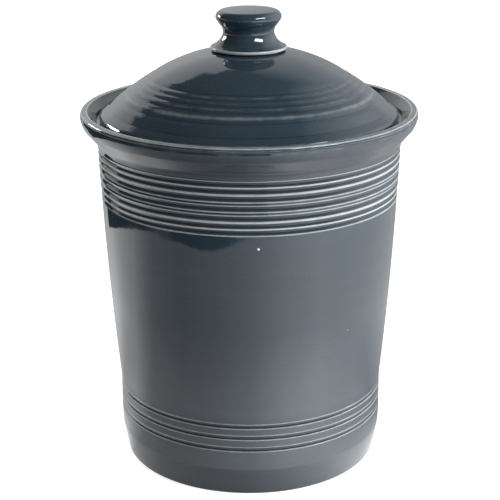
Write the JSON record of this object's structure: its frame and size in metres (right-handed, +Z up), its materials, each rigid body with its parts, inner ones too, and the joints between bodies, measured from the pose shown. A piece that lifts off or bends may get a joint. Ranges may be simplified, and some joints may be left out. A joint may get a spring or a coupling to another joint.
{
  "type": "canister",
  "caption": "Round glazed stoneware storage canister with a ringed tapering wall, flared rim and a lift-off domed lid that has a waisted knob and a rubber seal ring.",
  "frame": {"origin": "centre of the foot face, on the surface the canister stands on", "axes": "+Z runs up along the axis of the pot, through the lid and the knob; X and Y are level and alike, because every piece is round; the picture looks along +Y"},
  "size_m": [0.188, 0.188, 0.2576],
  "materials": {
    "glaze": "high-gloss slate blue-grey glaze, thinner and lighter on the ridges",
    "seal": "matt translucent grey silicone rubber"
  },
  "bodies": {
    "pot": {"pot": "glaze"},
    "seal": {"lid_seal": "seal"},
    "lid": {"lid": "glaze", "lid_knob": "glaze"}
  },
  "joints": [
    {"name": "lid_lift", "type": "slide", "parent": "pot", "child": "seal", "axis": [0, 0, 1], "range_m": [0, 0.15]},
    {"name": "lid_turn", "type": "hinge", "parent": "seal", "child": "lid", "pos_m": [0, 0, 0.1965], "axis": [0, 0, 1], "continuous": true}
  ]
}
